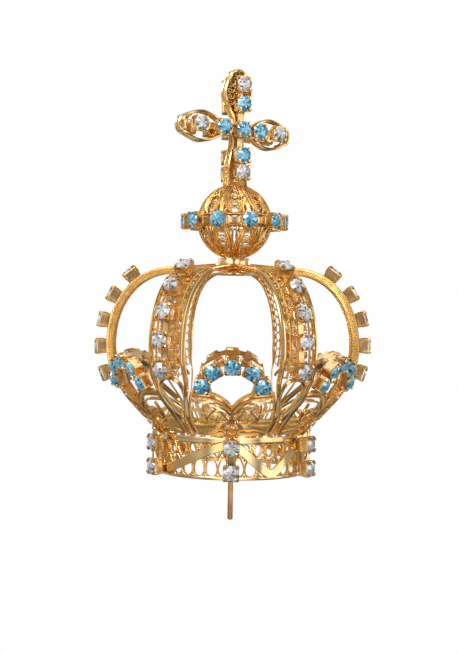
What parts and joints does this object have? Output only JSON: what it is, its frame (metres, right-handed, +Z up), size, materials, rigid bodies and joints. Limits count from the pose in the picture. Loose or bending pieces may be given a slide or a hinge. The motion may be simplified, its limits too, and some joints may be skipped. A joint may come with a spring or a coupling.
{
  "type": "statue crown",
  "caption": "Small gold filigree crown for a devotional statue, with arches, an orb and a leaf armed cross, set with stones and held by a pin.",
  "frame": {"origin": "centre of the band's underside, on the crown's axis, where the fixing pin leaves the band", "axes": "+Z up along the crown's axis to the cross; -Y towards the front, the side the picture shows"},
  "size_m": [0.0552, 0.051, 0.0898],
  "materials": {
    "filigree_gold": "gold plated filigree, bright",
    "polished_gold": "gold plated, polished",
    "pin_brass": "satin",
    "clear_stone": "foil backed cut stones in gold box settings",
    "blue_stone": "foil backed cut stones in gold box settings"
  },
  "bodies": {
    "root": {"arch_1": "filigree_gold", "arch_2": "filigree_gold", "arch_3": "filigree_gold", "arch_4": "filigree_gold", "arch_5": "filigree_gold", "arch_6": "filigree_gold", "arch_stones_1": "clear_stone", "arch_stones_2": "clear_stone", "arch_stones_3": "clear_stone", "arch_stones_4": "clear_stone", "arch_stones_5": "clear_stone", "arch_stones_6": "clear_stone", "band": "filigree_gold", "band_ribbon": "polished_gold", "band_stones_1": "clear_stone", "band_stones_2": "clear_stone", "band_stones_3": "clear_stone", "band_stones_4": "clear_stone", "band_stones_5": "clear_stone", "band_stones_6": "clear_stone", "collar": "polished_gold", "cross": "filigree_gold", "cross_back_stones": "blue_stone", "cross_front_stones": "blue_stone", "fixing_pin": "pin_brass", "fleuron_1": "filigree_gold", "fleuron_2": "filigree_gold", "fleuron_3": "filigree_gold", "fleuron_4": "filigree_gold", "fleuron_5": "filigree_gold", "fleuron_6": "filigree_gold", "fleuron_stones_1": "blue_stone", "fleuron_stones_2": "blue_stone", "fleuron_stones_3": "blue_stone", "fleuron_stones_4": "blue_stone", "fleuron_stones_5": "blue_stone", "fleuron_stones_6": "blue_stone", "orb": "filigree_gold", "orb_stones": "blue_stone", "pin_bridge": "polished_gold"}
  },
  "joints": []
}
